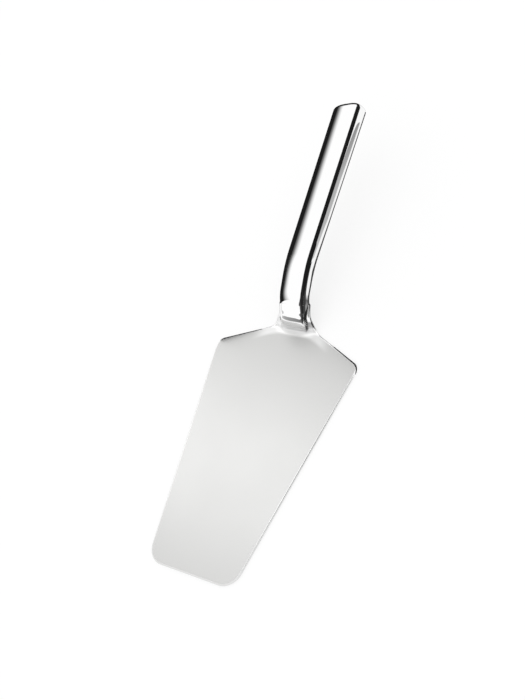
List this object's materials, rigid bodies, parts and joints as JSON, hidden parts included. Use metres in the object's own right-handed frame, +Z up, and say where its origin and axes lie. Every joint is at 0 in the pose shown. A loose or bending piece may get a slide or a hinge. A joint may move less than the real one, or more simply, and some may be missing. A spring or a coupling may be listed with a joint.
{
  "type": "cake server",
  "caption": "Stainless steel cake server: flat satin trapezoid lifter blade, short pressed neck and a mirror-polished hollow handle cranked up above the table.",
  "frame": {"origin": "on the blade's flat underside, on the centre line, level with the shoulder corners where the blade is widest", "axes": "+X from the tip towards the handle end, +Y to the left seen from above with the handle ahead, +Z up, away from the table"},
  "size_m": [0.268, 0.0952, 0.0408],
  "materials": {
    "satin_steel": "satin, fine even grind",
    "polished_steel": "mirror polished stainless steel",
    "cement": "dull set resin cement"
  },
  "bodies": {
    "root": {"blade": "satin_steel", "handle_top_shell": "polished_steel", "handle_bottom_shell": "polished_steel", "tang_bedding": "cement"}
  },
  "joints": []
}
